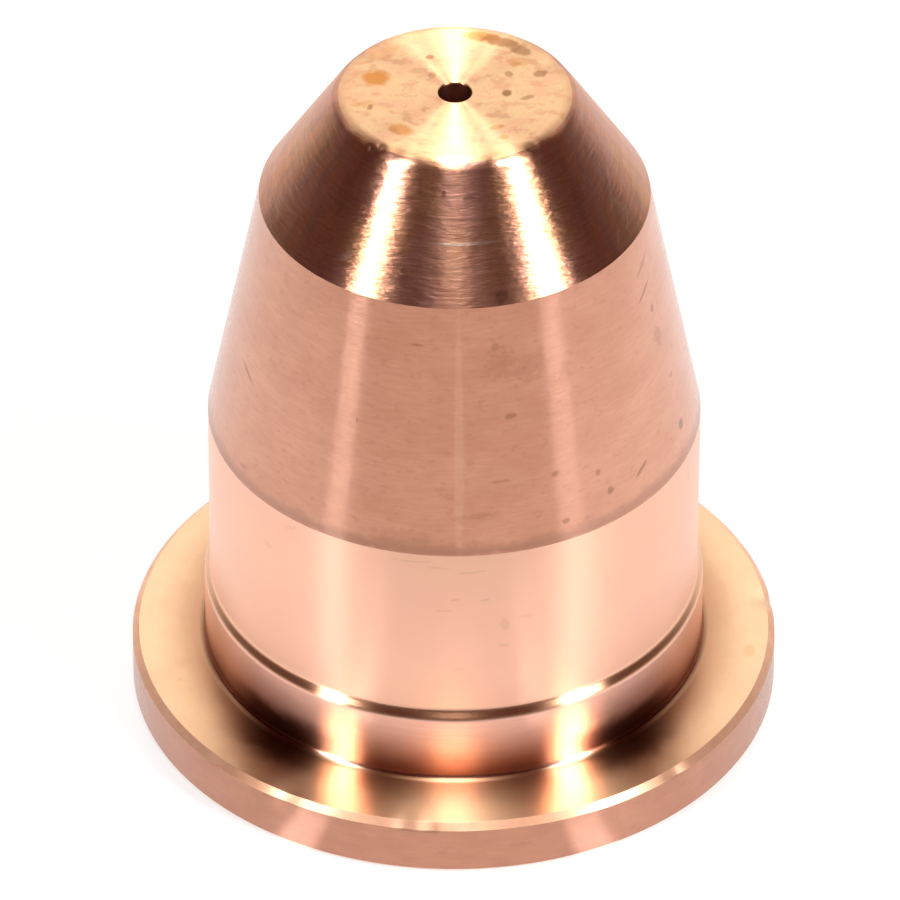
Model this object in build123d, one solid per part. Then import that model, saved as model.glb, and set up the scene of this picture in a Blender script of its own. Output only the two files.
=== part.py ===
"""Plasma torch nozzle: one piece of copper, turned on a lathe.

The frame is the nozzle's own. The origin is the centre of the flange's
underside, +Z runs up the axis and out of the tip, and lengths are in mm.
"""
import math
import os

from build123d import *

# Flange that the torch clamps
flange_diameter = 22.0
flange_thickness = 1.95
flange_rim_chamfer = 0.22
flange_base_chamfer = 0.1

# Locating collar that stands on the flange
collar_step = 0.2
collar_height = 2.5
collar_root_radius = 0.25
collar_ramp_length = 0.3

# Straight body above the collar
body_diameter = 16.6
body_length = 6.55

# Slow taper from the body to the shoulder of the nose
taper_length = 8.85
shoulder_diameter = 13.0

# Steep nose cone with a flat tip
nose_length = 4.05
tip_diameter = 7.8
tip_rim_radius = 0.6

# Orifice that shapes the arc
orifice_diameter = 1.1
orifice_length = 3.3
orifice_edge_radius = 0.06

# Chamber round the electrode, closed by a conical floor under the nose
chamber_diameter = 11.0
chamber_floor_half_angle = 45.0
throat_diameter = 3.0

# Wider seat at the open end, for the gas ring
seat_diameter = 13.0
seat_depth = 3.2
seat_edge_chamfer = 0.3

# Radii
flange_radius = flange_diameter / 2
body_radius = body_diameter / 2
collar_radius = body_radius + collar_step
shoulder_radius = shoulder_diameter / 2
tip_radius = tip_diameter / 2
orifice_radius = orifice_diameter / 2
chamber_radius = chamber_diameter / 2
throat_radius = throat_diameter / 2
seat_radius = seat_diameter / 2

# Heights above the underside, from the flange up to the tip
collar_top = flange_thickness + collar_height
body_base = collar_top + collar_ramp_length
body_top = body_base + body_length
shoulder_height = body_top + taper_length
tip_height = shoulder_height + nose_length

# Heights inside, from the tip down to the chamber
orifice_base = tip_height - orifice_length
floor_depth = (chamber_radius - throat_radius) / math.tan(math.radians(chamber_floor_half_angle))
chamber_top = orifice_base - floor_depth


def turned(points):
    """Spin a closed half section, given as (radius, height) points, round the axis."""
    with BuildPart() as blank:
        with BuildSketch(Plane.XZ):
            with BuildLine():
                Polyline(*points, close=True)
            make_face()
        revolve(axis=Axis.Z)
    return blank.part


def ring_edge(solid, radius, height):
    """Find the circular edge of that radius, centred on the axis at that height."""
    circles = solid.edges().filter_by(GeomType.CIRCLE)
    return min(circles, key=lambda edge: math.hypot(edge.radius - radius, edge.arc_center.Z - height))


def outside():
    """Outer form: flange, collar, ramp, straight body, taper and nose, with their edges finished."""
    form = turned([
        (0, 0),
        (flange_radius, 0),
        (flange_radius, flange_thickness),
        (collar_radius, flange_thickness),
        (collar_radius, collar_top),
        (body_radius, body_base),
        (body_radius, body_top),
        (shoulder_radius, shoulder_height),
        (tip_radius, tip_height),
        (0, tip_height),
    ])
    form = fillet(ring_edge(form, tip_radius, tip_height), tip_rim_radius)
    form = fillet(ring_edge(form, collar_radius, flange_thickness), collar_root_radius)
    form = chamfer(ring_edge(form, flange_radius, flange_thickness), flange_rim_chamfer)
    form = chamfer(ring_edge(form, flange_radius, 0), flange_base_chamfer)
    return form


def inside():
    """Space inside: seat, chamber, conical floor and orifice, right through the piece."""
    return turned([
        (0, 0),
        (seat_radius, 0),
        (seat_radius, seat_depth),
        (chamber_radius, seat_depth),
        (chamber_radius, chamber_top),
        (throat_radius, orifice_base),
        (orifice_radius, orifice_base),
        (orifice_radius, tip_height),
        (0, tip_height),
    ])


nozzle = outside() - inside()
nozzle = chamfer(ring_edge(nozzle, seat_radius, 0), seat_edge_chamfer)
nozzle = fillet(ring_edge(nozzle, orifice_radius, tip_height), orifice_edge_radius)

os.makedirs("parts", exist_ok=True)
export_step(nozzle, "parts/nozzle.step")
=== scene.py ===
"""Looks of the plasma torch nozzle: one piece of turned copper on a white bench.

The nozzle's skin is one closed surface of revolution. It has the same form as
the solid, with finely broken edges and small nicks, and takes a finish of its
own in each zone: faced tip, polished nose, matt taper, smooth body, collar,
flange and bore. Sizes are in metres, in the frame of the solid: +Z is the axis,
and the nozzle stands on its flange. Marks on the finish are placed in mm.
"""
import math

import bpy
import mathutils
import numpy as np
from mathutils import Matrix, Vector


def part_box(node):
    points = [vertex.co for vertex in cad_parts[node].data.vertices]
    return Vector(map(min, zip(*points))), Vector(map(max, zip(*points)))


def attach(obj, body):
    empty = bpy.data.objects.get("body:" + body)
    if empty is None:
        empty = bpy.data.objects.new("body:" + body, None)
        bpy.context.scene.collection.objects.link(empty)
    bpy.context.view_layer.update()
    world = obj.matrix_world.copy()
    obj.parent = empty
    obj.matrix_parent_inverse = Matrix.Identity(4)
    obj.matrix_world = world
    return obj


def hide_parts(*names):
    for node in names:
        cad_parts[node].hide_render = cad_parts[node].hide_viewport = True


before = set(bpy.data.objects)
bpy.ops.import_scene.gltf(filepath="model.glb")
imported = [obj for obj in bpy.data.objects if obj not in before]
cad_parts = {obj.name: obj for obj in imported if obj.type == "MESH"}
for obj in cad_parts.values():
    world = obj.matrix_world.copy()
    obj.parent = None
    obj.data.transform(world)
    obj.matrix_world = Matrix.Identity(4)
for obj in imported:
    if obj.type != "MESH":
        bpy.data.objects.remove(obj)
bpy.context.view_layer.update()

MM = 0.001

# Overall sizes, read from the solid
tip_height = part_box("nozzle")[1][2]
flange_radius = 11.0 * MM

# Heights of the outer form
flange_top = 1.95 * MM
collar_top = flange_top + 2.5 * MM
body_base = collar_top + 0.3 * MM
body_top = body_base + 6.55 * MM
shoulder_height = body_top + 8.85 * MM

# Radii of the outer form
body_radius = 8.3 * MM
collar_radius = body_radius + 0.2 * MM
shoulder_radius = 6.5 * MM
tip_radius = 3.9 * MM
rim_bevel = 0.22 * MM
base_bevel = 0.1 * MM

# Sizes of the inner form
orifice_radius = 0.55 * MM
orifice_base = tip_height - 3.3 * MM
throat_radius = 1.5 * MM
chamber_radius = 5.5 * MM
chamber_top = orifice_base - (chamber_radius - throat_radius)
seat_radius = 6.5 * MM
seat_depth = 3.2 * MM
seat_bevel = 0.3 * MM

# Radius at which marks on the sides are unrolled, in mm
unrolled_radius = 7.5

# How many features of a ragged edge there are to a mm, on marks and on edge bands
mark_grain = 4.0
band_grain = 1.2

# Gaps in the painted shade round the collar's foot, where the lamp streaks fall on both sides of the front:
# middle, half width, softness
painted_shade_gap = (27.0, 5.5, 2.5)

# Height of the dark line on the taper's foot over its lower edge, in mm
foot_line_lift = 0.16

# Edge radii
tip_rim_radius = 0.6 * MM
ramp_edge_radius = 0.35 * MM
collar_root_radius = 0.25 * MM
orifice_edge_radius = 0.06 * MM
fine_edge = 0.025 * MM

# Mesh density
steps_round = 360
ring_spacing = 0.35 * MM
hidden_spacing = 1.2 * MM
ring_guard = 0.01 * MM
hidden_zones = ("bore", "base")

# Steps of an arc, by the edge radius from which on they hold
fine_arc_steps = 3
small_arc_steps = 6
small_arc_from = 0.03 * MM
wide_arc_steps = 12
wide_arc_from = 0.2 * MM

# Nicks in the edges and small dents: degrees round from the front, radius, height, spread and depth in mm
nicks = [
    (-39.5, 3.85, 24.1, 0.13, 0.03),
    (-43.0, 4.0, 23.95, 0.12, 0.03),
    (-31.0, 3.7, 24.16, 0.3, 0.02),
    (24.0, 3.7, 24.16, 0.35, 0.02),
    (42.0, 3.85, 24.1, 0.2, 0.025),
    (118.0, 3.8, 24.12, 0.3, 0.04),
    (-128.0, 3.8, 24.12, 0.22, 0.04),
    (-8.6, 11.0, 1.72, 0.25, 0.06),
    (-4.0, 11.0, 1.7, 0.2, 0.05),
    (43.0, 11.0, 1.75, 0.35, 0.06),
    (-31.0, 11.0, 1.76, 0.5, 0.05),
    (-46.0, 11.0, 1.74, 0.4, 0.06),
    (97.0, 11.0, 1.74, 0.35, 0.05),
    (-140.0, 11.0, 1.75, 0.4, 0.05),
    (163.0, 11.0, 1.72, 0.3, 0.05),
    (70.3, 8.05, 12.55, 0.16, 0.02),
    (40.1, 8.07, 12.44, 0.12, 0.015),
    (14.8, 7.3, 16.19, 0.14, 0.015),
    (-65.2, 7.55, 14.99, 0.16, 0.015),
    (151.0, 7.45, 15.4, 0.2, 0.02),
    (-112.0, 7.92, 13.2, 0.2, 0.02),
]
rim_waviness = 0.007 * MM
rim_wave_spread = 0.3 * MM

# The bench: lift is how far the viewer sees it as plain white paper
bench_radius = 600.0 * MM
bench_drop = 0.02 * MM
bench_lift = 0.6

# The bench as the metal mirrors it: its radiance, where 1 is white, fades out between two radii
bench_mirrored = 1.12
bench_lit_radius = 40.0 * MM
bench_dark_radius = 150.0 * MM
bench_far_rear = 0.75

# In front the fade comes sooner: radii count as longer by up to the shrink, past the bearing whose
# cosine is the begin
bench_front_begin = 0.35
bench_front_shrink = 1.3

# Glints close in on the bench: azimuth, half width and softness in degrees
bench_glints = [(-29.5, 3.6, 1.6), (26.5, 3.6, 1.6)]
bench_glint_gain = 2.0
bench_glint_reach = 12.8 * MM
bench_glint_fade = 1.0 * MM

# Room and backdrop: azimuths where the backdrop begins and is full, and its half height in degrees
dark_room = (0.065, 0.01, 0.005, 1)
backdrop_light = 0.98
backdrop_begin = 118.0
backdrop_full = 158.0
backdrop_half_height = 45.0
upright_softness = 8.0
panel_softness = 6.0

# Soft boxes: azimuth, half width and softness, then elevation and half height, in degrees, and radiance
soft_boxes = [
    ("left", -54.6, 3.8, 1.2, 32.0, 22.0, 9.0),
    ("left foot", -51.5, 4.8, 1.2, 1.5, 8.5, 18.0),
    ("left core", -52.0, 3.3, 1.4, 42.0, 8.0, 28.0),
    ("right", 59.4, 6.2, 2.0, 32.0, 22.0, 8.5),
    ("right foot", 51.5, 5.2, 1.5, 1.5, 8.5, 15.0),
    ("right core", 57.0, 5.6, 2.2, 42.0, 8.0, 30.0),
    ("left rear", -124.0, 9.0, 6.0, 40.0, 10.0, 0.9),
    ("right rear", 126.0, 9.0, 6.0, 40.0, 10.0, 0.9),
]

# Overhead panels: lateral half width and softness, overhead angles of the ends, in degrees, and radiance
panels = [
    (9.3, 4.8, 76.0, 140.0, 2.3),
    (5.2, 2.8, 51.0, 117.0, 7.2),
]


def outline_corners():
    """Corners of the closed half section: radius, height, edge radius and the zone that follows.

    They run up the orifice, out over the tip, down the outside, in under the
    flange and up the chamber, so the metal is always on the right.
    """
    return [
        (orifice_radius, orifice_base, fine_edge, "bore"),
        (orifice_radius, tip_height, orifice_edge_radius, "tip_face"),
        (tip_radius, tip_height, tip_rim_radius, "nose"),
        (shoulder_radius, shoulder_height, fine_edge, "taper"),
        (body_radius, body_top, fine_edge, "body"),
        (body_radius, body_base, ramp_edge_radius, "ramp"),
        (collar_radius, collar_top, ramp_edge_radius, "collar"),
        (collar_radius, flange_top, collar_root_radius, "flange_top"),
        (flange_radius - rim_bevel, flange_top, fine_edge, "rim_bevel"),
        (flange_radius, flange_top - rim_bevel, fine_edge, "flange_wall"),
        (flange_radius, base_bevel, fine_edge, "base"),
        (flange_radius - base_bevel, 0.0, fine_edge, "base"),
        (seat_radius + seat_bevel, 0.0, fine_edge, "bore"),
        (seat_radius, seat_bevel, fine_edge, "bore"),
        (seat_radius, seat_depth, fine_edge, "bore"),
        (chamber_radius, seat_depth, fine_edge, "bore"),
        (chamber_radius, chamber_top, fine_edge, "bore"),
        (throat_radius, orifice_base, fine_edge, "bore"),
    ]


def rounded_outline(corners):
    """Outline with an arc at each corner and evenly spaced points between the arcs.

    The arc touches both sides at a distance of radius / tan(half the corner's
    angle). A guard point just off each end of an arc keeps the flat sides flat
    under smooth shading. Returns points (n, 2), the inward normal at each point
    and the zone of each span.
    """
    places = np.array([[c[0], c[1]] for c in corners])
    radii = np.array([c[2] for c in corners])
    to_next = np.roll(places, -1, axis=0) - places
    length = np.linalg.norm(to_next, axis=1)
    ahead = to_next / length[:, None]
    back = -np.roll(ahead, 1, axis=0)
    half = np.arccos(np.clip((ahead * back).sum(axis=1), -1, 1)) / 2
    reach = radii / np.tan(half)
    middle = ahead + back
    middle /= np.linalg.norm(middle, axis=1)[:, None]
    centre = places + middle * (radii / np.sin(half))[:, None]
    points = []
    zones = []
    for i, corner in enumerate(corners):
        zone_before = corners[i - 1][3]
        zone_after = corner[3]
        start = places[i] + back[i] * reach[i] - centre[i]
        end = places[i] + ahead[i] * reach[i] - centre[i]
        turn = math.atan2(start[0] * end[1] - start[1] * end[0], start @ end)
        steps = fine_arc_steps
        if radii[i] > small_arc_from:
            steps = small_arc_steps
        if radii[i] > wide_arc_from:
            steps = wide_arc_steps
        angle = math.atan2(start[1], start[0]) + turn * np.linspace(0, 1, steps + 1)
        arc = centre[i] + radii[i] * np.column_stack([np.cos(angle), np.sin(angle)])
        points.append(arc)
        zones += [zone_before] * (steps // 2) + [zone_after] * (steps - steps // 2)
        after = (i + 1) % len(corners)
        run = length[i] - reach[i] - reach[after]
        spacing = hidden_spacing if zone_after in hidden_zones else ring_spacing
        spans = max(1, round((run - 2 * ring_guard) / spacing))
        inner = np.linspace(ring_guard, run - ring_guard, spans + 1)
        points.append(arc[-1] + ahead[i] * inner[:, None])
        zones += [zone_after] * (spans + 2)
    points = np.concatenate(points)
    run = np.roll(points, -1, axis=0) - np.roll(points, 1, axis=0)
    run /= np.linalg.norm(run, axis=1)[:, None]
    inward = np.column_stack([run[:, 1], -run[:, 0]])
    return points, inward, zones


def worn_depth(outline, angle):
    """Depth of wear over the grid: a bell for each nick, and slow waves round the two rims.

    A nick's depth is depth * exp(-(distance / spread)^2), with the distance
    measured as an arc round the axis and straight out and up. The rims' waves
    are the sum of three sines, which together reach highest.
    """
    radius = outline[:, 0][:, None]
    height = outline[:, 1][:, None]
    depth = np.zeros((len(outline), len(angle)))
    for degrees, nick_radius, level, spread, deep in nicks:
        offset = angle[None, :] - math.radians(degrees - 90.0)
        offset = np.arctan2(np.sin(offset), np.cos(offset))
        far = (offset * radius) ** 2 + (radius - nick_radius * MM) ** 2 + (height - level * MM) ** 2
        depth += deep * MM * np.exp(-far / (spread * MM) ** 2)
    waves = np.sin(5 * angle + 0.6) + 0.7 * np.sin(13 * angle + 2.1) + 0.4 * np.sin(29 * angle + 4.0)
    highest = 2.1
    for rim_radius, rim_height in ((tip_radius, tip_height), (flange_radius, flange_top)):
        far = (radius - rim_radius) ** 2 + (height - rim_height) ** 2
        depth += rim_waviness * (1 + waves / highest)[None, :] * np.exp(-far / rim_wave_spread ** 2)
    return depth


def turned_surface(name, outline, inward, zones, order):
    """Closed surface of revolution of an outline, on a grid of angle by outline point.

    A point is (r cos a, r sin a, z), moved inward by the depth of wear. The
    attribute "along" holds the distance along the outline in mm, which the
    turning marks follow.
    """
    rings = len(outline)
    angle = np.linspace(0, 2 * math.pi, steps_round, endpoint=False)
    shown = np.array([zone not in hidden_zones for zone in zones])
    wear = worn_depth(outline, angle) * shown[:, None]
    radius = outline[:, 0][:, None] + inward[:, 0][:, None] * wear
    grid = np.empty((rings, steps_round, 3))
    grid[:, :, 0] = radius * np.cos(angle)
    grid[:, :, 1] = radius * np.sin(angle)
    grid[:, :, 2] = outline[:, 1][:, None] + inward[:, 1][:, None] * wear
    ring, step = np.meshgrid(np.arange(rings), np.arange(steps_round), indexing="ij")
    next_ring = (ring + 1) % rings
    next_step = (step + 1) % steps_round
    faces = np.stack([ring * steps_round + step, next_ring * steps_round + step,
                      next_ring * steps_round + next_step, ring * steps_round + next_step], axis=-1)
    faces = faces.reshape(-1, 4)
    mesh = bpy.data.meshes.new(name)
    mesh.vertices.add(rings * steps_round)
    mesh.vertices.foreach_set("co", grid.ravel())
    mesh.loops.add(faces.size)
    mesh.loops.foreach_set("vertex_index", faces.ravel())
    mesh.polygons.add(len(faces))
    mesh.polygons.foreach_set("loop_start", np.arange(0, faces.size, 4))
    slot = np.array([order.index(zone) for zone in zones])
    mesh.polygons.foreach_set("material_index", np.repeat(slot, steps_round))
    mesh.update(calc_edges=True)
    mesh.polygons.foreach_set("use_smooth", np.ones(len(faces), dtype=bool))
    step_length = np.linalg.norm(np.diff(outline, axis=0), axis=1)
    along = np.concatenate([[0.0], np.cumsum(step_length)]) / MM
    mesh.attributes.new("along", "FLOAT", "POINT").data.foreach_set("value", np.repeat(along, steps_round))
    mesh.validate()
    piece = bpy.data.objects.new(name, mesh)
    bpy.context.scene.collection.objects.link(piece)
    return piece


def feed(tree, socket, value):
    """Give an input a number, a colour, a vector or a link."""
    if isinstance(value, bpy.types.NodeSocket):
        tree.links.new(value, socket)
    elif isinstance(value, tuple) and socket.type == "RGBA":
        socket.default_value = (*value[:3], 1)
    else:
        socket.default_value = value


def calculate(tree, operation, *values):
    """Math node whose inputs are numbers or sockets; returns its output."""
    node = tree.nodes.new("ShaderNodeMath")
    node.operation = operation
    for slot_number, value in enumerate(values):
        feed(tree, node.inputs[slot_number], value)
    return node.outputs[0]


def soft_step(tree, value, low, high, begin=0.0, end=1.0):
    """Smooth change from begin at low to end at high."""
    node = tree.nodes.new("ShaderNodeMapRange")
    node.interpolation_type = "SMOOTHSTEP"
    feed(tree, node.inputs["Value"], value)
    feed(tree, node.inputs["From Min"], low)
    feed(tree, node.inputs["From Max"], high)
    feed(tree, node.inputs["To Min"], begin)
    feed(tree, node.inputs["To Max"], end)
    return node.outputs["Result"]


def soft_band(tree, value, centre, half_width, softness):
    """1 within half a width of the centre, falling smoothly to 0 over twice the softness."""
    offset = calculate(tree, "ABSOLUTE", calculate(tree, "SUBTRACT", value, centre))
    return soft_step(tree, offset, half_width - softness, half_width + softness, 1.0, 0.0)


def vector(tree, operation, *values):
    """Vector Math node; returns its vector output, or its value for a length."""
    node = tree.nodes.new("ShaderNodeVectorMath")
    node.operation = operation
    inputs = [socket for socket in node.inputs if socket.enabled]
    for socket, value in zip(inputs, values):
        feed(tree, socket, value)
    return node.outputs["Value"] if operation == "LENGTH" else node.outputs["Vector"]


def combine(tree, x, y, z):
    """Vector from three numbers or sockets."""
    node = tree.nodes.new("ShaderNodeCombineXYZ")
    for socket, value in zip(node.inputs, (x, y, z)):
        feed(tree, socket, value)
    return node.outputs[0]


def noise(tree, place, detail, roughness):
    """Noise value at a place, about one feature to a unit."""
    node = tree.nodes.new("ShaderNodeTexNoise")
    feed(tree, node.inputs["Vector"], place)
    node.inputs["Scale"].default_value = 1.0
    node.inputs["Detail"].default_value = detail
    node.inputs["Roughness"].default_value = roughness
    return node.outputs[0]


def new_group(name, inputs, outputs):
    """Node group with named inputs (name, kind, default) and outputs (name, kind)."""
    tree = bpy.data.node_groups.new(name, "ShaderNodeTree")
    for label, kind, value in inputs:
        socket = tree.interface.new_socket(label, in_out="INPUT", socket_type="NodeSocket" + kind)
        socket.default_value = value
    for label, kind in outputs:
        tree.interface.new_socket(label, in_out="OUTPUT", socket_type="NodeSocket" + kind)
    return tree, tree.nodes.new("NodeGroupInput").outputs, tree.nodes.new("NodeGroupOutput").inputs


def use(tree, group, **values):
    """Group node in a tree; words in the inputs' names are joined by an underscore here."""
    node = tree.nodes.new("ShaderNodeGroup")
    node.node_tree = group
    for label, value in values.items():
        feed(tree, node.inputs[label.replace("_", " ")], value)
    return node.outputs


def place_group():
    """Where a point lies on the nozzle, in mm and degrees round from the front."""
    outputs = [("Point", "Vector"), ("Unrolled", "Vector"), ("Radius", "Float"), ("Height", "Float"),
               ("Turn", "Float"), ("Along", "Float")]
    tree, _, result = new_group("nozzle_place", [], outputs)
    texture_place = tree.nodes.new("ShaderNodeTexCoord")
    point = vector(tree, "MULTIPLY", texture_place.outputs["Object"], (1000.0, 1000.0, 1000.0))
    split = tree.nodes.new("ShaderNodeSeparateXYZ")
    tree.links.new(point, split.inputs[0])
    toward = calculate(tree, "MULTIPLY", split.outputs["Y"], -1.0)
    turn = calculate(tree, "ARCTAN2", split.outputs["X"], toward)
    radius = vector(tree, "LENGTH", vector(tree, "MULTIPLY", point, (1.0, 1.0, 0.0)))
    along = tree.nodes.new("ShaderNodeAttribute")
    along.attribute_name = "along"
    around = calculate(tree, "MULTIPLY", turn, unrolled_radius)
    tree.links.new(point, result["Point"])
    tree.links.new(combine(tree, around, split.outputs["Z"], 0.0), result["Unrolled"])
    tree.links.new(radius, result["Radius"])
    tree.links.new(split.outputs["Z"], result["Height"])
    tree.links.new(calculate(tree, "DEGREES", turn), result["Turn"])
    tree.links.new(along.outputs["Fac"], result["Along"])
    return tree


def turning_group():
    """Fine lines left by the tool: noise stretched round the axis, one line to a pitch."""
    inputs = [("Point", "Vector", (0, 0, 0)), ("Along", "Float", 0.0), ("Pitch", "Float", 0.1),
              ("Wander", "Float", 0.2)]
    tree, given, result = new_group("turning_lines", inputs, [("Lines", "Float")])
    split = tree.nodes.new("ShaderNodeSeparateXYZ")
    tree.links.new(given["Point"], split.inputs[0])
    place = combine(tree, calculate(tree, "DIVIDE", given["Along"], given["Pitch"]),
                    calculate(tree, "MULTIPLY", split.outputs["X"], given["Wander"]),
                    calculate(tree, "MULTIPLY", split.outputs["Y"], given["Wander"]))
    tree.links.new(soft_step(tree, noise(tree, place, 2.0, 0.6), 0.3, 0.7), result["Lines"])
    return tree


def mottling_group():
    """Cloudy patches: 1 where noise of the given size is above the level."""
    inputs = [("Place", "Vector", (0, 0, 0)), ("Size", "Vector", (1, 1, 1)), ("Level", "Float", 0.5),
              ("Edge", "Float", 0.08)]
    tree, given, result = new_group("mottling", inputs, [("Mask", "Float")])
    cloud = noise(tree, vector(tree, "DIVIDE", given["Place"], given["Size"]), 4.0, 0.6)
    low = calculate(tree, "SUBTRACT", given["Level"], given["Edge"])
    high = calculate(tree, "ADD", given["Level"], given["Edge"])
    tree.links.new(soft_step(tree, cloud, low, high), result["Mask"])
    return tree


def mark_group():
    """One spot, stain or scratch: 1 inside a leaning oval with a ragged edge."""
    inputs = [("Place", "Vector", (0, 0, 0)), ("Centre", "Vector", (0, 0, 0)),
              ("Half Size", "Vector", (1, 1, 1)), ("Lean", "Float", 0.0), ("Ragged", "Float", 0.4),
              ("Wobble", "Float", 0.5)]
    tree, given, result = new_group("mark", inputs, [("Mask", "Float")])
    offset = vector(tree, "SUBTRACT", given["Place"], given["Centre"])
    offset = vector(tree, "MULTIPLY", offset, (1.0, 1.0, 0.0))
    lean = tree.nodes.new("ShaderNodeVectorRotate")
    lean.rotation_type = "Z_AXIS"
    tree.links.new(offset, lean.inputs["Vector"])
    tree.links.new(given["Lean"], lean.inputs["Angle"])
    far = vector(tree, "LENGTH", vector(tree, "DIVIDE", lean.outputs[0], given["Half Size"]))
    wobble = calculate(tree, "MULTIPLY", calculate(tree, "SUBTRACT", given["Wobble"], 0.5), given["Ragged"])
    far = calculate(tree, "MULTIPLY_ADD", wobble, 1.8, far)
    tree.links.new(soft_step(tree, far, 0.6, 1.2, 1.0, 0.0), result["Mask"])
    return tree


def edge_group():
    """Band along a turned edge: 1 at the edge, 0 a ragged reach away from it."""
    inputs = [("Point", "Vector", (0, 0, 0)), ("Radius", "Float", 0.0), ("Height", "Float", 0.0),
              ("Edge Radius", "Float", 0.0), ("Edge Height", "Float", 0.0), ("Reach", "Float", 0.3),
              ("Ragged", "Float", 0.3)]
    tree, given, result = new_group("edge_band", inputs, [("Mask", "Float")])
    out = calculate(tree, "SUBTRACT", given["Radius"], given["Edge Radius"])
    up = calculate(tree, "SUBTRACT", given["Height"], given["Edge Height"])
    far = vector(tree, "LENGTH", combine(tree, out, up, 0.0))
    finer = vector(tree, "MULTIPLY", given["Point"], (band_grain, band_grain, band_grain))
    wobble = noise(tree, finer, 3.0, 0.6)
    wobble = calculate(tree, "MULTIPLY", calculate(tree, "SUBTRACT", wobble, 0.5), given["Ragged"])
    far = calculate(tree, "DIVIDE", far, calculate(tree, "MULTIPLY", given["Reach"],
                                                 calculate(tree, "MULTIPLY_ADD", wobble, 4.0, 1.0)))
    tree.links.new(soft_step(tree, far, 0.0, 1.0, 1.0, 0.0), result["Mask"])
    return tree


def corner_shade_group(edge_band):
    """Painted shade round the collar's foot, broken where the lamp streaks fall on either side of the front,
    and painted dark reflections beside it.
    """
    inputs = [("Point", "Vector", (0, 0, 0)), ("Radius", "Float", 0.0), ("Height", "Float", 0.0),
              ("Turn", "Float", 0.0), ("Reach", "Float", 1.5), ("Ragged", "Float", 0.1),
              ("Smear Turn", "Float", 43.0), ("Smear Inner", "Float", 5.0), ("Smear Outer", "Float", 20.0),
              ("Smear Full", "Float", 0.6)]
    tree, given, result = new_group("corner_painted_shade", inputs, [("Painted Shade", "Float"), ("Dark Reflection", "Float")])
    corner = use(tree, edge_band, Point=given["Point"], Radius=given["Radius"], Height=given["Height"],
                 Edge_Radius=collar_radius / MM, Edge_Height=flange_top / MM, Reach=given["Reach"],
                 Ragged=given["Ragged"])["Mask"]
    turn = calculate(tree, "ABSOLUTE", given["Turn"])
    kept = calculate(tree, "SUBTRACT", 1.0, soft_band(tree, turn, *painted_shade_gap))
    aside = calculate(tree, "ABSOLUTE", calculate(tree, "SUBTRACT", turn, given["Smear Turn"]))
    beside = soft_step(tree, aside, given["Smear Inner"], given["Smear Outer"], 1.0, 0.0)
    near = soft_step(tree, corner, 0.0, given["Smear Full"])
    # The corner mask is painted shade, and the smear mask beside it is a painted dark reflection
    tree.links.new(calculate(tree, "MULTIPLY", corner, kept), result["Painted Shade"])
    tree.links.new(calculate(tree, "MULTIPLY", near, beside), result["Dark Reflection"])
    return tree


nozzle_place = place_group()
turning_lines = turning_group()
mottling = mottling_group()
mark = mark_group()
edge_band = edge_group()
corner_painted_shade = corner_shade_group(edge_band)


def blend(tree, mask, strength, below, above):
    """Colour below, going to the colour above where the mask times the strength is 1."""
    node = tree.nodes.new("ShaderNodeMix")
    node.data_type = "RGBA"
    feed(tree, node.inputs["Factor"], calculate(tree, "MULTIPLY", mask, strength))
    feed(tree, node.inputs["A"], below)
    feed(tree, node.inputs["B"], above)
    return node.outputs["Result"]


def all_marks(tree, place, marks):
    """Largest of many marks: across, up, half width, half height, lean in degrees, ragged, strength."""
    finer = vector(tree, "MULTIPLY", place, (mark_grain, mark_grain, mark_grain))
    wobble = noise(tree, finer, 2.0, 0.6)
    total = 0.0
    for across, up, half_width, half_height, lean, ragged, strength in marks:
        one = use(tree, mark, Place=place, Centre=(across, up, 0.0),
                  Half_Size=(half_width, half_height, 1.0), Lean=math.radians(-lean), Ragged=ragged,
                  Wobble=wobble)["Mask"]
        one = calculate(tree, "MULTIPLY", one, strength)
        total = one if total == 0.0 else calculate(tree, "MAXIMUM", total, one)
    return total


def side_marks(tree, at, marks):
    """Marks on the sides, given in degrees round from the front and turned into mm round."""
    unrolled = [(math.radians(item[0]) * unrolled_radius, *item[1:]) for item in marks]
    return all_marks(tree, at["Unrolled"], unrolled)


# Marks: two values for the place, half width and half height in mm, lean in degrees, raggedness, strength.
# Marks on the tip face are placed in mm right and back from the axis
tip_stains = [
    (-2.62, 0.8, 0.5, 0.46, 0.0, 0.35, 1.0),
    (-1.8, -2.1, 0.5, 0.3, -28.0, 0.4, 0.75),
    (-3.0, -0.7, 0.45, 0.2, 0.0, 0.6, 0.35),
    (0.8, 3.2, 0.6, 0.3, -12.0, 0.6, 0.8),
    (1.37, -1.96, 0.26, 0.13, 20.0, 0.5, 0.5),
    (1.61, -2.5, 0.18, 0.16, 0.0, 0.5, 0.5),
    (2.04, 1.72, 0.34, 0.26, -20.0, 0.8, 0.45),
    (-2.4, 2.2, 0.7, 0.28, 35.0, 0.7, 0.3),
]
tip_browns = [
    (1.5, 2.9, 0.75, 0.3, -24.0, 0.6, 0.75),
    (2.1, 2.45, 0.5, 0.28, -42.0, 0.6, 0.6),
    (2.8, 1.04, 0.26, 0.2, 25.0, 0.7, 0.6),
    (1.71, -0.04, 0.17, 0.2, 0.0, 0.3, 0.8),
    (2.37, -0.3, 0.26, 0.12, 25.0, 0.6, 0.55),
    (1.78, 1.04, 0.15, 0.17, 0.0, 0.5, 0.5),
    (-0.83, 2.0, 0.16, 0.13, 15.0, 0.5, 0.65),
    (-0.76, 0.97, 0.14, 0.22, 0.0, 0.7, 0.35),
    (-2.78, -0.85, 0.1, 0.17, -20.0, 0.5, 0.6),
    (-1.2, 1.2, 0.3, 0.2, 10.0, 0.8, 0.2),
]

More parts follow.
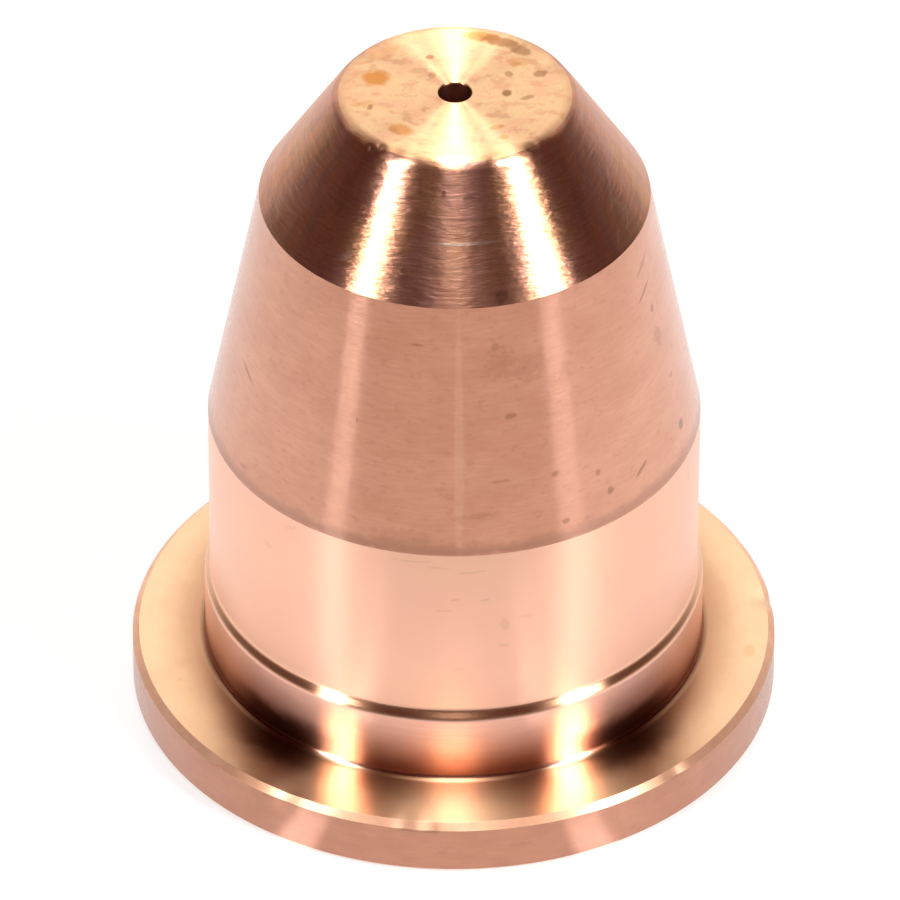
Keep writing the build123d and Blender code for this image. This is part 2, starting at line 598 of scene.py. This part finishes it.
# Marks on the sides are placed by degrees round from the front and height in mm
nose_darks = [
    (-4.5, 23.31, 0.12, 0.1, 0.0, 0.4, 0.9),
    (6.0, 23.2, 0.35, 0.06, 0.0, 0.6, 0.5),
    (-1.0, 23.55, 0.7, 0.05, 0.0, 0.4, 0.7),
    (14.0, 20.4, 0.3, 0.2, 20.0, 0.8, 0.6),
    (-16.0, 20.9, 0.2, 0.3, 0.0, 0.8, 0.4),
]
nose_pales = [
    (3.8, 21.93, 1.7, 0.045, 0.0, 0.3, 0.75),
    (-37.0, 21.0, 0.25, 0.12, 30.0, 0.7, 0.35),
    (66.0, 21.5, 0.55, 0.05, 34.0, 0.5, 0.4),
    (69.0, 20.8, 0.45, 0.04, 30.0, 0.5, 0.35),
    (72.0, 22.0, 0.5, 0.05, 28.0, 0.5, 0.35),
    (60.0, 20.6, 0.35, 0.06, 35.0, 0.6, 0.4),
    (-158.0, 21.2, 0.6, 0.05, 20.0, 0.5, 0.4),
]
taper_pales = [
    (1.2, 15.3, 0.17, 4.6, 0.0, 0.5, 1.0),
]
taper_browns_and_front_shade = [
    (65.2, 18.21, 0.55, 0.06, 22.0, 0.3, 0.9),
    (67.0, 19.1, 0.7, 0.06, 22.0, 0.4, 0.7),
    (67.7, 17.36, 0.13, 0.13, 0.0, 0.5, 0.8),
    (67.9, 16.3, 0.3, 0.35, 15.0, 0.8, 0.4),
    (70.6, 14.51, 0.14, 0.1, 0.0, 0.5, 0.5),
    (70.3, 12.55, 0.19, 0.2, 0.0, 0.3, 0.95),
    (50.8, 12.52, 0.4, 0.07, 30.0, 0.3, 0.8),
    (37.1, 13.29, 0.1, 0.12, 0.0, 0.4, 0.6),
    (40.1, 12.44, 0.13, 0.15, 0.0, 0.4, 0.75),
    (25.3, 13.78, 0.16, 0.1, 15.0, 0.5, 0.6),
    (27.0, 11.99, 0.15, 0.11, 0.0, 0.4, 0.7),
    (14.8, 16.19, 0.22, 0.12, 0.0, 0.5, 0.6),
    (11.3, 18.72, 0.16, 0.18, 0.0, 0.6, 0.4),
    (-65.2, 14.99, 0.5, 0.06, -22.0, 0.4, 0.75),
    (-10.7, 18.8, 0.3, 0.05, 0.0, 0.6, 0.5),
    (-25.6, 15.72, 0.05, 0.1, 0.0, 0.3, 0.7),
    (-59.2, 11.87, 0.22, 0.08, 0.0, 0.6, 0.5),
    # The broad, ragged blotches at 13, 20.9, 5, 31 and -12 degrees are partly brown mottling and partly
    # painted shade that darkens the taper's front
    (13.0, 18.1, 0.6, 0.55, 0.0, 1.2, 0.25),
    (20.9, 17.8, 0.8, 0.5, 20.0, 1.2, 0.25),
    (5.0, 12.7, 0.7, 0.12, 4.0, 1.2, 0.3),
    (12.0, 13.9, 0.4, 0.06, 0.0, 1.0, 0.4),
    (31.0, 17.4, 0.25, 0.35, 0.0, 1.2, 0.2),
    (-12.0, 11.9, 1.0, 0.3, 0.0, 1.2, 0.2),
    (128.0, 16.0, 0.3, 0.1, 25.0, 0.6, 0.6),
    (-131.0, 13.4, 0.2, 0.2, 0.0, 0.5, 0.6),
    (171.0, 17.5, 0.7, 0.4, 10.0, 1.2, 0.4),
    (-98.0, 17.2, 0.5, 0.06, -35.0, 0.5, 0.6),
]
body_greys = [
    (-9.0, 11.0, 0.6, 0.04, 3.0, 0.8, 0.7),
    (-4.0, 10.8, 0.35, 0.05, -4.0, 0.8, 0.6),
    (3.7, 10.6, 0.5, 0.04, 5.0, 0.8, 0.6),
    (0.3, 9.46, 0.16, 0.05, 15.0, 0.7, 0.8),
    (7.2, 9.41, 0.14, 0.05, 5.0, 0.7, 0.8),
    (-2.5, 9.0, 0.3, 0.05, 0.0, 0.9, 0.5),
    (11.9, 8.3, 0.14, 0.25, 10.0, 1.0, 0.6),
    (17.0, 8.5, 0.25, 0.1, 0.0, 1.0, 0.4),
    (11.4, 7.42, 0.2, 0.07, 0.0, 0.9, 0.6),
    (1.0, 6.5, 0.2, 0.08, 0.0, 0.9, 0.35),
    (-48.4, 9.6, 0.2, 0.14, 0.0, 0.8, 0.4),
    (-41.0, 10.9, 0.25, 0.1, 20.0, 0.8, 0.5),
    (38.0, 9.0, 0.1, 0.4, 5.0, 0.8, 0.3),
    (71.0, 10.5, 0.06, 0.5, 0.0, 0.5, 0.6),
    (-150.0, 8.6, 0.5, 0.05, 12.0, 0.8, 0.6),
    (119.0, 9.8, 0.3, 0.05, -20.0, 0.8, 0.6),
]
flange_spots = [
    (10.08, -1.54, 0.24, 0.34, 0.0, 0.3, 0.6),
    (-9.3, -3.2, 0.1, 0.1, 0.0, 0.5, 0.4),
    (-7.4, 6.6, 0.2, 0.15, 0.0, 0.5, 0.4),
    (3.0, 9.6, 0.15, 0.12, 0.0, 0.5, 0.4),
]
wall_darks = [
    (-8.0, 1.66, 0.3, 0.05, 0.0, 0.6, 0.9),
    (-4.0, 1.67, 0.22, 0.06, 0.0, 0.6, 0.9),
    (43.0, 1.68, 0.3, 0.05, 5.0, 0.8, 0.6),
    (-47.0, 1.68, 0.4, 0.07, 0.0, 0.8, 0.6),
    (-33.0, 1.66, 0.3, 0.06, 0.0, 0.8, 0.5),
    (12.0, 1.0, 0.3, 0.1, 0.0, 0.9, 0.3),
    (-2.0, 0.8, 0.12, 0.08, 0.0, 0.7, 0.4),
]


def start_material(name, roughness, anisotropy, metallic, sheen=0.0, mirrored=0.5):
    """Copper with its constant numbers set, and streaks that run across the turning lines.

    Mirrored is how strongly its clear outer skin mirrors where it isn't metal.
    """
    material = bpy.data.materials.new(name)
    material.use_nodes = True
    tree = material.node_tree
    shader = tree.nodes["Principled BSDF"]
    shader.inputs["Metallic"].default_value = metallic
    shader.inputs["Roughness"].default_value = roughness
    shader.inputs["Anisotropic"].default_value = anisotropy
    shader.inputs["Anisotropic Rotation"].default_value = 0.25
    shader.inputs["Specular IOR Level"].default_value = mirrored
    shader.inputs["Sheen Weight"].default_value = sheen
    shader.inputs["Sheen Roughness"].default_value = 0.4
    shader.inputs["Sheen Tint"].default_value = (1.0, 0.86, 0.78, 1)
    tangent = tree.nodes.new("ShaderNodeTangent")
    tangent.direction_type = "RADIAL"
    tangent.axis = "Z"
    tree.links.new(tangent.outputs["Tangent"], shader.inputs["Tangent"])
    return material, tree, shader, use(tree, nozzle_place)


def finish_surface(tree, shader, colour, roughness, height, depth):
    """Feed the colour, the changing roughness and the bump of a finish, its depth in mm, to its shader."""
    tree.links.new(colour, shader.inputs["Base Color"])
    tree.links.new(roughness, shader.inputs["Roughness"])
    bump = tree.nodes.new("ShaderNodeBump")
    bump.inputs["Strength"].default_value = 1.0
    bump.inputs["Distance"].default_value = depth * MM
    tree.links.new(height, bump.inputs["Height"])
    tree.links.new(bump.outputs["Normal"], shader.inputs["Normal"])


def faced_tip():
    """Tip face: fine facing rings, pink and cream mottling, tan stains and brown specks."""
    material, tree, shader, at = start_material("faced_tip", roughness=0.3, anisotropy=1.0, metallic=1.0)
    rings = use(tree, turning_lines, Point=at["Point"], Along=at["Along"], Pitch=0.07, Wander=0.5)["Lines"]
    pink = use(tree, mottling, Place=at["Point"], Size=(1.5, 1.3, 3.0), Level=0.5, Edge=0.1)["Mask"]
    blotch = use(tree, mottling, Place=at["Point"], Size=(0.6, 0.5, 3.0), Level=0.56, Edge=0.05)["Mask"]
    colour = blend(tree, pink, 0.8, (1.0, 0.63, 0.33), (1.0, 0.54, 0.31))
    yellow = use(tree, mottling, Place=at["Point"], Size=(0.8, 0.6, 2.0), Level=0.54, Edge=0.06)["Mask"]
    colour = blend(tree, yellow, 0.6, colour, (1.0, 0.66, 0.34))
    colour = blend(tree, blotch, 0.5, colour, (0.93, 0.42, 0.24))
    colour = blend(tree, rings, 0.14, colour, (0.78, 0.42, 0.22))
    rim = use(tree, edge_band, Point=at["Point"], Radius=at["Radius"], Height=at["Height"],
              Edge_Radius=tip_radius / MM, Edge_Height=tip_height / MM, Reach=0.55, Ragged=0.3)["Mask"]
    colour = blend(tree, rim, 0.35, colour, (0.84, 0.42, 0.20))
    colour = blend(tree, all_marks(tree, at["Point"], tip_stains), 0.95, colour, (0.80, 0.31, 0.07))
    colour = blend(tree, all_marks(tree, at["Point"], tip_browns), 1.0, colour, (0.36, 0.13, 0.04))
    rough = soft_step(tree, blotch, 0.0, 1.0, 0.3, 0.34)
    finish_surface(tree, shader, colour, rough, rings, depth=0.0006)
    return material


def polished_nose():
    """Nose: bright lathe polish with ring lines, tool chatter, purple and red tinges and brush strokes."""
    material, tree, shader, at = start_material("polished_nose", roughness=0.277, anisotropy=0.92,
                                                metallic=1.0)
    rings = use(tree, turning_lines, Point=at["Point"], Along=at["Along"], Pitch=0.13, Wander=0.22)["Lines"]
    fine = use(tree, turning_lines, Point=at["Point"], Along=at["Along"], Pitch=0.06, Wander=0.7)["Lines"]
    purple = use(tree, mottling, Place=at["Unrolled"], Size=(2.6, 3.0, 1.0), Level=0.5, Edge=0.14)["Mask"]
    turned = tree.nodes.new("ShaderNodeVectorRotate")
    turned.rotation_type = "Z_AXIS"
    turned.inputs["Angle"].default_value = 0.3
    tree.links.new(at["Unrolled"], turned.inputs["Vector"])
    strokes = use(tree, mottling, Place=turned.outputs[0], Size=(0.6, 1.6, 1.0), Level=0.52,
                  Edge=0.16)["Mask"]
    side = soft_step(tree, calculate(tree, "ABSOLUTE", at["Turn"]), 36.0, 52.0)
    colour = blend(tree, purple, 0.8, (0.78, 0.38, 0.20), (0.72, 0.34, 0.29))
    colour = blend(tree, rings, 0.36, colour, (0.44, 0.20, 0.11))
    colour = blend(tree, fine, 0.14, colour, (0.98, 0.64, 0.44))
    dull = use(tree, mottling, Place=at["Unrolled"], Size=(0.9, 1.3, 1.0), Level=0.53, Edge=0.08)["Mask"]
    colour = blend(tree, dull, 0.3, colour, (0.46, 0.18, 0.10))
    colour = blend(tree, calculate(tree, "MULTIPLY", strokes, side), 0.45, colour, (0.95, 0.33, 0.15))
    colour = blend(tree, side_marks(tree, at, nose_darks), 0.7, colour, (0.18, 0.07, 0.04))
    colour = blend(tree, side_marks(tree, at, nose_pales), 0.8, colour, (1.0, 0.83, 0.68))
    rough = soft_step(tree, rings, 0.0, 1.0, 0.275, 0.285)
    chatter = use(tree, turning_lines, Point=at["Point"], Along=at["Along"], Pitch=0.16, Wander=1.6)["Lines"]
    finish_surface(tree, shader, colour, rough, chatter, depth=0.0044)
    return material


def matt_taper():
    """Taper: matt and pink, with faint bands, short turning dashes, brown blotches and specks, and broad
    blotches on its front that are partly painted shade.
    """
    material, tree, shader, at = start_material("matt_taper", roughness=0.17, anisotropy=1.0, metallic=0.35,
                                                sheen=0.12, mirrored=1.0)
    rings = use(tree, turning_lines, Point=at["Point"], Along=at["Along"], Pitch=0.09, Wander=1.4)["Lines"]
    bands = use(tree, turning_lines, Point=at["Point"], Along=at["Along"], Pitch=0.7, Wander=0.2)["Lines"]
    cloud = use(tree, mottling, Place=at["Point"], Size=(2.2, 2.2, 1.3), Level=0.52, Edge=0.13)["Mask"]
    speckle = use(tree, mottling, Place=at["Point"], Size=(0.35, 0.35, 0.22), Level=0.61, Edge=0.04)["Mask"]
    colour = blend(tree, cloud, 0.6, (0.615, 0.29, 0.185), (0.54, 0.24, 0.145))
    colour = blend(tree, bands, 0.15, colour, (0.46, 0.20, 0.13))
    colour = blend(tree, rings, 0.25, colour, (0.42, 0.175, 0.11))
    colour = blend(tree, speckle, 0.26, colour, (0.38, 0.15, 0.09))
    edge = use(tree, edge_band, Point=at["Point"], Radius=at["Radius"], Height=at["Height"],
               Edge_Radius=body_radius / MM, Edge_Height=body_top / MM + foot_line_lift, Reach=0.42,
               Ragged=0.8)["Mask"]
    colour = blend(tree, edge, 0.6, colour, (0.30, 0.135, 0.085))
    pale = side_marks(tree, at, taper_pales)
    colour = blend(tree, pale, 0.1, colour, (1.0, 0.66, 0.5))
    # Brown marks; the broad blotches on the front are partly painted shade
    colour = blend(tree, side_marks(tree, at, taper_browns_and_front_shade), 0.85, colour, (0.24, 0.095, 0.05))
    burnish = use(tree, turning_lines, Point=at["Point"], Along=at["Along"], Pitch=0.05, Wander=5.0)["Lines"]
    rough = soft_step(tree, burnish, 0.2, 0.8, 0.19, 0.15)
    finish_surface(tree, shader, colour, rough, rings, depth=0.0015)
    return material


def smooth_body():
    """Body: smooth and pale pink, with very faint lines and a few grey scratches."""
    material, tree, shader, at = start_material("smooth_body", roughness=0.278, anisotropy=0.9,
                                                metallic=0.95)
    rings = use(tree, turning_lines, Point=at["Point"], Along=at["Along"], Pitch=0.1, Wander=0.5)["Lines"]
    cloud = use(tree, mottling, Place=at["Point"], Size=(3.0, 3.0, 2.0), Level=0.5, Edge=0.15)["Mask"]
    colour = blend(tree, cloud, 0.6, (0.995, 0.565, 0.395), (0.995, 0.545, 0.41))
    colour = blend(tree, rings, 0.06, colour, (0.82, 0.46, 0.33))
    colour = blend(tree, side_marks(tree, at, body_greys), 0.4, colour, (0.60, 0.34, 0.22))
    rough = soft_step(tree, cloud, 0.0, 1.0, 0.275, 0.285)
    finish_surface(tree, shader, colour, rough, rings, depth=0.0004)
    return material


def collar_finish(name, light, dark, roughness, anisotropy):
    """Collar and ramp: bright, with painted shade and painted dark reflections in the corner above the
    flange.
    """
    material, tree, shader, at = start_material(name, roughness, anisotropy, metallic=1.0)
    rings = use(tree, turning_lines, Point=at["Point"], Along=at["Along"], Pitch=0.12, Wander=0.3)["Lines"]
    colour = blend(tree, rings, 0.12, light, dark)
    corner = use(tree, corner_painted_shade, Point=at["Point"], Radius=at["Radius"], Height=at["Height"],
                 Turn=at["Turn"], Reach=1.5, Ragged=0.12, Smear_Turn=45.0, Smear_Inner=5.0,
                 Smear_Outer=21.0, Smear_Full=0.55)
    # Painted shade in the corner at the collar's foot, and painted dark reflections in the smears beside it
    colour = blend(tree, corner["Painted Shade"], 0.75, colour, (0.36, 0.10, 0.035))
    colour = blend(tree, corner["Dark Reflection"], 0.85, colour, (0.10, 0.018, 0.005))
    rough = soft_step(tree, rings, 0.0, 1.0, roughness - 0.01, roughness + 0.01)
    finish_surface(tree, shader, colour, rough, rings, depth=0.0004)
    return material


def turned_flange():
    """Flange's upper face: bright rings, a yellow cast, and painted shade and painted dark reflections at
    the collar's foot.
    """
    material, tree, shader, at = start_material("turned_flange", roughness=0.281, anisotropy=1.0,
                                                metallic=1.0)
    rings = use(tree, turning_lines, Point=at["Point"], Along=at["Along"], Pitch=0.14, Wander=0.2)["Lines"]
    cloud = use(tree, mottling, Place=at["Point"], Size=(2.5, 2.5, 2.0), Level=0.5, Edge=0.14)["Mask"]
    colour = blend(tree, cloud, 0.5, (0.95, 0.61, 0.36), (0.95, 0.58, 0.35))
    colour = blend(tree, rings, 0.08, colour, (0.80, 0.44, 0.24))
    corner = use(tree, corner_painted_shade, Point=at["Point"], Radius=at["Radius"], Height=at["Height"],
                 Turn=at["Turn"], Reach=1.9, Ragged=0.1, Smear_Turn=41.0, Smear_Inner=2.0,
                 Smear_Outer=18.0, Smear_Full=0.7)
    # Painted shade in the corner at the collar's foot, and painted dark reflections in the smears beside it
    colour = blend(tree, corner["Painted Shade"], 0.6, colour, (0.32, 0.10, 0.04))
    colour = blend(tree, corner["Dark Reflection"], 0.8, colour, (0.11, 0.02, 0.006))
    colour = blend(tree, all_marks(tree, at["Point"], flange_spots), 0.55, colour, (0.62, 0.34, 0.14))
    rough = soft_step(tree, cloud, 0.0, 1.0, 0.275, 0.29)
    finish_surface(tree, shader, colour, rough, rings, depth=0.0006)
    return material


def broken_rim():
    """Flange's bevel: a filed edge, paler where it is worn and browner in patches."""
    material, tree, shader, at = start_material("broken_rim", roughness=0.45, anisotropy=0.8, metallic=0.85)
    patch = use(tree, mottling, Place=at["Point"], Size=(0.8, 0.8, 0.5), Level=0.52, Edge=0.1)["Mask"]
    long_patch = use(tree, mottling, Place=at["Point"], Size=(3.0, 3.0, 3.0), Level=0.5, Edge=0.12)["Mask"]
    colour = blend(tree, long_patch, 0.5, (0.93, 0.54, 0.36), (0.85, 0.44, 0.26))
    colour = blend(tree, patch, 0.35, colour, (0.70, 0.36, 0.20))
    rough = soft_step(tree, patch, 0.0, 1.0, 0.42, 0.48)
    finish_surface(tree, shader, colour, rough, patch, depth=0.002)
    return material


def flange_side():
    """Flange's wall: matt and pink, with faint cloudy patches, fine lines and small dark nicks."""
    material, tree, shader, at = start_material("flange_side", roughness=0.2, anisotropy=1.0, metallic=0.45,
                                                sheen=0.1, mirrored=0.8)
    rings = use(tree, turning_lines, Point=at["Point"], Along=at["Along"], Pitch=0.13, Wander=1.0)["Lines"]
    cloud = use(tree, mottling, Place=at["Point"], Size=(1.2, 1.2, 0.8), Level=0.52, Edge=0.12)["Mask"]
    colour = blend(tree, cloud, 0.6, (0.47, 0.205, 0.125), (0.41, 0.17, 0.10))
    colour = blend(tree, rings, 0.2, colour, (0.33, 0.14, 0.09))
    colour = blend(tree, side_marks(tree, at, wall_darks), 0.7, colour, (0.26, 0.11, 0.07))
    burnish = use(tree, turning_lines, Point=at["Point"], Along=at["Along"], Pitch=0.05, Wander=5.0)["Lines"]
    rough = soft_step(tree, burnish, 0.2, 0.8, 0.24, 0.19)
    finish_surface(tree, shader, colour, rough, cloud, depth=0.002)
    return material


def bored_inside():
    """Orifice, chamber and seat: drilled and bored rings, darkened by heat in the orifice."""
    material, tree, shader, at = start_material("bored_inside", roughness=0.35, anisotropy=0.5, metallic=1.0)
    rings = use(tree, turning_lines, Point=at["Point"], Along=at["Along"], Pitch=0.25, Wander=0.2)["Lines"]
    colour = blend(tree, rings, 0.25, (0.82, 0.45, 0.28), (0.60, 0.30, 0.18))
    heat = soft_step(tree, at["Radius"], 0.6, 2.2, 1.0, 0.0)
    colour = blend(tree, heat, 0.85, colour, (0.34, 0.11, 0.07))
    rough = soft_step(tree, rings, 0.0, 1.0, 0.32, 0.38)
    finish_surface(tree, shader, colour, rough, rings, depth=0.003)
    return material


def turned_base():
    """Flange's underside: plain turned rings, a little duller than the upper face."""
    material, tree, shader, at = start_material("turned_base", roughness=0.32, anisotropy=0.7, metallic=1.0)
    rings = use(tree, turning_lines, Point=at["Point"], Along=at["Along"], Pitch=0.16, Wander=0.2)["Lines"]
    cloud = use(tree, mottling, Place=at["Point"], Size=(2.0, 2.0, 2.0), Level=0.52, Edge=0.12)["Mask"]
    colour = blend(tree, cloud, 0.5, (0.90, 0.52, 0.35), (0.82, 0.44, 0.29))
    colour = blend(tree, rings, 0.2, colour, (0.66, 0.34, 0.21))
    rough = soft_step(tree, cloud, 0.0, 1.0, 0.3, 0.35)
    finish_surface(tree, shader, colour, rough, rings, depth=0.001)
    return material


finishes = {
    "bore": bored_inside(),
    "tip_face": faced_tip(),
    "nose": polished_nose(),
    "taper": matt_taper(),
    "body": smooth_body(),
    "ramp": collar_finish("ramp", (0.86, 0.46, 0.27), (0.7, 0.35, 0.2), 0.236, 0.95),
    "collar": collar_finish("collar", (0.93, 0.52, 0.40), (0.8, 0.42, 0.3), 0.229, 0.95),
    "flange_top": turned_flange(),
    "rim_bevel": broken_rim(),
    "flange_wall": flange_side(),
    "base": turned_base(),
}
zone_order = list(finishes)

outline, inward, zones = rounded_outline(outline_corners())
skin = turned_surface("turned_nozzle", outline, inward, zones, zone_order)
for zone in zone_order:
    skin.data.materials.append(finishes[zone])
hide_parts("nozzle")
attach(skin, "root")


def bench():
    """White bench top, set a hair below the nozzle's foot.

    It is pale to the viewer. The metal mirrors it as white close in, with two
    glints in front, and as fading to the dark room farther out, sooner in front.
    """
    bpy.ops.mesh.primitive_circle_add(vertices=128, radius=bench_radius, fill_type="NGON",
                                      location=(0, 0, -bench_drop))
    floor = bpy.context.object
    floor.name = "bench_top"
    material = bpy.data.materials.new("bench_white")
    material.use_nodes = True
    tree = material.node_tree
    nodes = tree.nodes
    links = tree.links
    shader = nodes["Principled BSDF"]
    shader.inputs["Base Color"].default_value = (0.86, 0.86, 0.86, 1)
    shader.inputs["Roughness"].default_value = 0.9
    shader.inputs["Specular IOR Level"].default_value = 0.0
    place = nodes.new("ShaderNodeTexCoord")
    split = nodes.new("ShaderNodeSeparateXYZ")
    links.new(place.outputs["Object"], split.inputs[0])
    across = split.outputs["X"]
    behind = split.outputs["Y"]
    reach = calculate(tree, "SQRT", calculate(tree, "ADD", calculate(tree, "MULTIPLY", across, across),
                                              calculate(tree, "MULTIPLY", behind, behind)))
    front = soft_step(tree, calculate(tree, "DIVIDE", behind, reach), -bench_front_begin, -1.0)
    stretch = calculate(tree, "MULTIPLY_ADD", front, bench_front_shrink, 1.0)
    stretched = calculate(tree, "MULTIPLY", reach, stretch)
    fade = soft_step(tree, calculate(tree, "LOGARITHM", stretched, math.e),
                     math.log(bench_lit_radius), math.log(bench_dark_radius))
    rear = soft_step(tree, calculate(tree, "DIVIDE", behind, reach), 0.0, 1.0)
    far = calculate(tree, "MULTIPLY", rear, bench_far_rear)
    near = calculate(tree, "SUBTRACT", bench_mirrored, calculate(tree, "MULTIPLY", fade, bench_mirrored))
    seen = calculate(tree, "MULTIPLY_ADD", fade, far, near)
    toward = calculate(tree, "MULTIPLY", behind, -1.0)
    azimuth = calculate(tree, "DEGREES", calculate(tree, "ARCTAN2", across, toward))
    close = soft_step(tree, reach, bench_glint_reach, bench_glint_reach + bench_glint_fade,
                      bench_glint_gain, 0.0)
    for centre, half_width, softness in bench_glints:
        glint = soft_band(tree, azimuth, centre, half_width, softness)
        seen = calculate(tree, "MULTIPLY_ADD", glint, close, seen)
    glow = nodes.new("ShaderNodeEmission")
    links.new(seen, glow.inputs["Strength"])
    pale = nodes.new("ShaderNodeEmission")
    path = nodes.new("ShaderNodeLightPath")
    lift = nodes.new("ShaderNodeMixShader")
    links.new(calculate(tree, "MULTIPLY", path.outputs["Is Camera Ray"], bench_lift), lift.inputs[0])
    links.new(shader.outputs[0], lift.inputs[1])
    links.new(pale.outputs[0], lift.inputs[2])
    pick = nodes.new("ShaderNodeMixShader")
    links.new(path.outputs["Is Glossy Ray"], pick.inputs[0])
    links.new(lift.outputs[0], pick.inputs[1])
    links.new(glow.outputs[0], pick.inputs[2])
    links.new(pick.outputs[0], nodes["Material Output"].inputs["Surface"])
    floor.data.materials.append(material)


def studio_world():
    """Dark studio with a white backdrop behind, panels overhead and upright soft boxes in front.

    Azimuth is 0 straight in front and 180 behind, overhead angle is 0 in front,
    90 at the zenith and 180 behind, and lateral angle is 0 in the middle plane.
    """
    world = bpy.data.worlds.new("studio")
    bpy.context.scene.world = world
    world.use_nodes = True
    tree = world.node_tree
    nodes = tree.nodes
    links = tree.links
    background = nodes["Background"]
    place = nodes.new("ShaderNodeTexCoord")
    split = nodes.new("ShaderNodeSeparateXYZ")
    links.new(place.outputs["Generated"], split.inputs[0])
    right = split.outputs["X"]
    front = calculate(tree, "MULTIPLY", split.outputs["Y"], -1.0)
    up = split.outputs["Z"]
    azimuth = calculate(tree, "DEGREES", calculate(tree, "ARCTAN2", right, front))
    elevation = calculate(tree, "DEGREES", calculate(tree, "ARCSINE", up))
    overhead = calculate(tree, "DEGREES", calculate(tree, "ARCTAN2", up, front))
    lateral = calculate(tree, "DEGREES", calculate(tree, "ARCSINE", right))
    turned = calculate(tree, "ABSOLUTE", azimuth)
    backdrop = calculate(tree, "MULTIPLY", soft_step(tree, turned, backdrop_begin, backdrop_full),
                         soft_band(tree, elevation, 0.0, backdrop_half_height, upright_softness))
    light = calculate(tree, "MULTIPLY", backdrop, backdrop_light)
    for _, centre, half_width, softness, height, half_height, strength in soft_boxes:
        upright = calculate(tree, "MULTIPLY", soft_band(tree, azimuth, centre, half_width, softness),
                            soft_band(tree, elevation, height, half_height, upright_softness))
        light = calculate(tree, "MULTIPLY_ADD", upright, strength, light)
    for half_width, softness, begin, end, strength in panels:
        strip = calculate(tree, "MULTIPLY", soft_band(tree, lateral, 0.0, half_width, softness),
                          soft_band(tree, overhead, (begin + end) / 2, (end - begin) / 2, panel_softness))
        light = calculate(tree, "MULTIPLY_ADD", strip, strength, light)
    room = nodes.new("ShaderNodeMix")
    room.data_type = "RGBA"
    room.clamp_factor = True
    links.new(light, room.inputs["Factor"])
    room.inputs["A"].default_value = dark_room
    room.inputs["B"].default_value = (1, 1, 1, 1)
    strength = calculate(tree, "MAXIMUM", light, 1.0)
    path = nodes.new("ShaderNodeLightPath")
    paper = nodes.new("ShaderNodeMix")
    paper.data_type = "RGBA"
    links.new(path.outputs["Is Camera Ray"], paper.inputs["Factor"])
    links.new(room.outputs["Result"], paper.inputs["A"])
    paper.inputs["B"].default_value = (1, 1, 1, 1)
    white = nodes.new("ShaderNodeMix")
    white.data_type = "FLOAT"
    links.new(path.outputs["Is Camera Ray"], white.inputs["Factor"])
    links.new(strength, white.inputs["A"])
    white.inputs["B"].default_value = 1.0
    links.new(paper.outputs["Result"], background.inputs["Color"])
    links.new(white.outputs["Result"], background.inputs["Strength"])


def camera():
    """Long lens at the height and distance that the photo's ring ellipses give."""
    distance = 267.9953 * MM
    height = 215.425 * MM
    pitch = 0.65552
    roll = 0.0025
    sensor_width = 36.0
    picture_pixels = 900.0
    lens_pixels = 10000.0
    shift_pixels = -4.1156
    data = bpy.data.cameras.new("camera")
    data.sensor_width = sensor_width
    data.lens = lens_pixels / picture_pixels * sensor_width
    data.shift_x = shift_pixels / picture_pixels
    data.clip_start = 0.01
    data.clip_end = 10.0
    view = bpy.data.objects.new("camera", data)
    bpy.context.scene.collection.objects.link(view)
    view.location = (0, -distance, height)
    aim = mathutils.Matrix.Rotation(math.pi / 2 - pitch, 3, "X") @ mathutils.Matrix.Rotation(roll, 3, "Z")
    view.rotation_euler = aim.to_euler()
    bpy.context.scene.camera = view


bench()
studio_world()
camera()

bpy.context.scene.view_settings.view_transform = "Standard"
